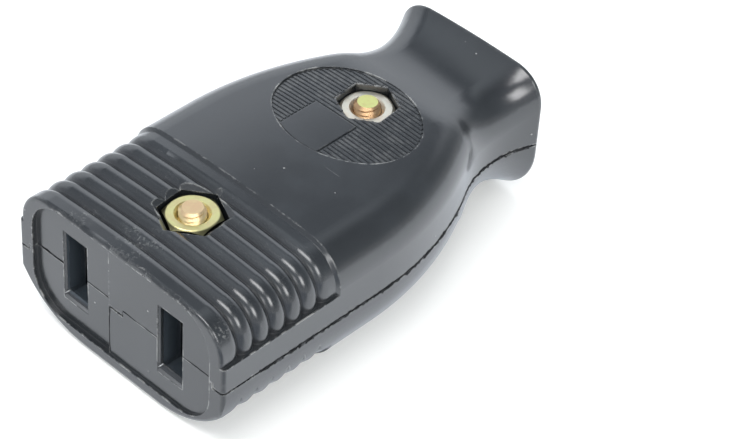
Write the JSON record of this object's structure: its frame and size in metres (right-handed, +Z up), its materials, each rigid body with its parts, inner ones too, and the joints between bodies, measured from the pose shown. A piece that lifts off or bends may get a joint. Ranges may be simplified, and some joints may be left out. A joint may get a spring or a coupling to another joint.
{
  "type": "inline two-pole power connector",
  "caption": "Moulded inline socket for flat blades: reeded grip, waisted body flaring to a cord entry, shells held by screws and hexagon nuts.",
  "frame": {"origin": "on the resting plane under the middle of the body", "axes": "+Y from the blade face to the cord end, +Z up through the parting plane, +X across the blades"},
  "size_m": [0.0268, 0.0456, 0.0155],
  "materials": {
    "shell": "black moulding with a low sheen",
    "housing_screw": "steel with a yellow zinc plate",
    "nut": "steel with a pale yellow zinc plate",
    "contact": "rolled brass strip",
    "terminal": "bright zinc plate"
  },
  "bodies": {
    "root": {"upper_shell": "shell", "lower_shell": "shell", "housing_screw_front": "housing_screw", "housing_screw_rear": "housing_screw", "hex_nut_front": "nut", "hex_nut_rear": "nut", "contact_left": "contact", "contact_right": "contact", "clamp_washer_left": "terminal", "clamp_washer_right": "terminal", "terminal_screw_left": "terminal", "terminal_screw_right": "terminal"}
  },
  "joints": []
}
